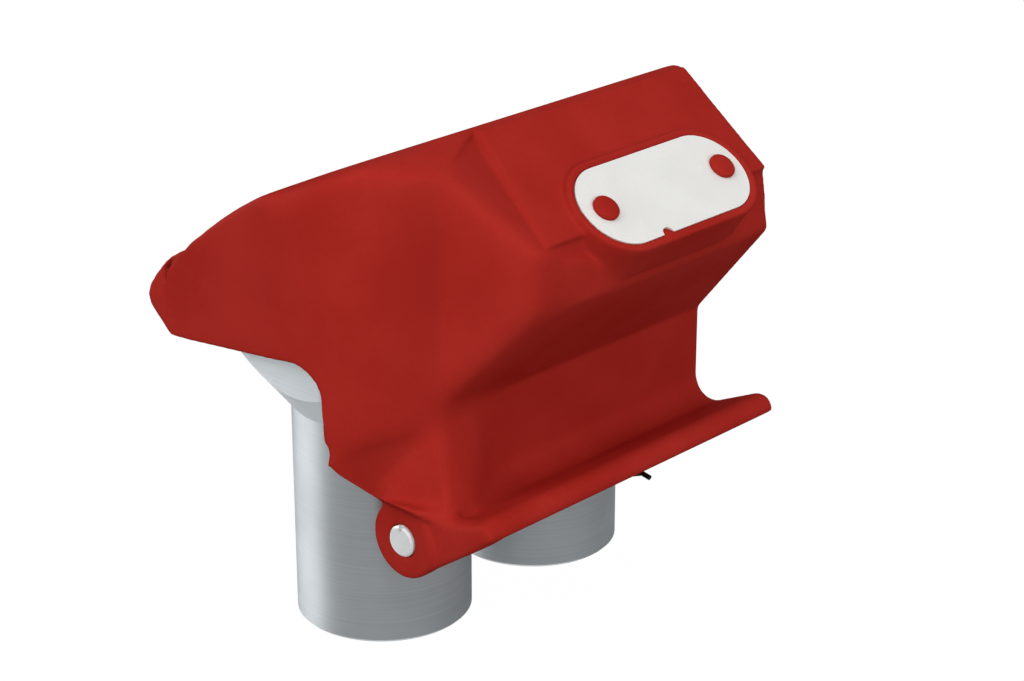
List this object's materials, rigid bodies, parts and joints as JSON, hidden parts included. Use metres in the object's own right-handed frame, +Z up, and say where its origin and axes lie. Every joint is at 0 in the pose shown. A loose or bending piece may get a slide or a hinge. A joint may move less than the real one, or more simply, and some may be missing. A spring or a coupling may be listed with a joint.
{
  "type": "twin-port air coupling",
  "caption": "Twin-port quick coupling for air lines: aluminium ports under a deck, with a hinged, spring-closed red cast hood over the sealed coupling face.",
  "frame": {"origin": "midway between the port axes, on the plane of the port ends", "axes": "+X along the hinge to the right end, +Y to the open rear, +Z up"},
  "size_m": [0.124, 0.1073, 0.1303],
  "materials": {
    "red_paint": "satin paint on a casting",
    "aluminium": "turned, fine grooves",
    "steel": "zinc plated",
    "spring_steel": "black oxide",
    "plate": "white, blank",
    "brass": "turned",
    "rubber": "matt"
  },
  "bodies": {
    "base": {"body": "aluminium", "hinge_pin": "steel", "pin_clip": "steel", "closing_spring": "spring_steel", "hinge_washer_left": "steel", "face_seal_left": "rubber", "valve_sleeve_left": "brass", "sleeve_ring_left": "steel", "sleeve_o_ring_left": "rubber", "valve_spring_left": "spring_steel", "hinge_washer_right": "steel", "face_seal_right": "rubber", "valve_sleeve_right": "brass", "sleeve_ring_right": "steel", "sleeve_o_ring_right": "rubber", "valve_spring_right": "spring_steel"},
    "hood": {"hood": "red_paint", "name_plate": "plate", "plate_rivets": "red_paint"},
    "plunger_left": {"valve_plunger_left": "brass"},
    "plunger_right": {"valve_plunger_right": "brass"}
  },
  "joints": [
    {"name": "hood_hinge", "type": "hinge", "parent": "base", "child": "hood", "pos_m": [0, -0.0282, 0.0345], "axis": [1, 0, 0], "range_deg": [0, 70], "stiffness_Nm_per_rad": 0.4, "springref_deg": -68.75, "deforming": ["closing_spring"]},
    {"name": "plunger_left_slide", "type": "slide", "parent": "base", "child": "plunger_left", "axis": [0, 0, -1], "range_m": [0, 0.005], "stiffness_N_per_m": 1500, "springref_m": -0.004, "deforming": ["valve_spring_left"]},
    {"name": "plunger_right_slide", "type": "slide", "parent": "base", "child": "plunger_right", "axis": [0, 0, -1], "range_m": [0, 0.005], "stiffness_N_per_m": 1500, "springref_m": -0.004, "deforming": ["valve_spring_right"]}
  ]
}
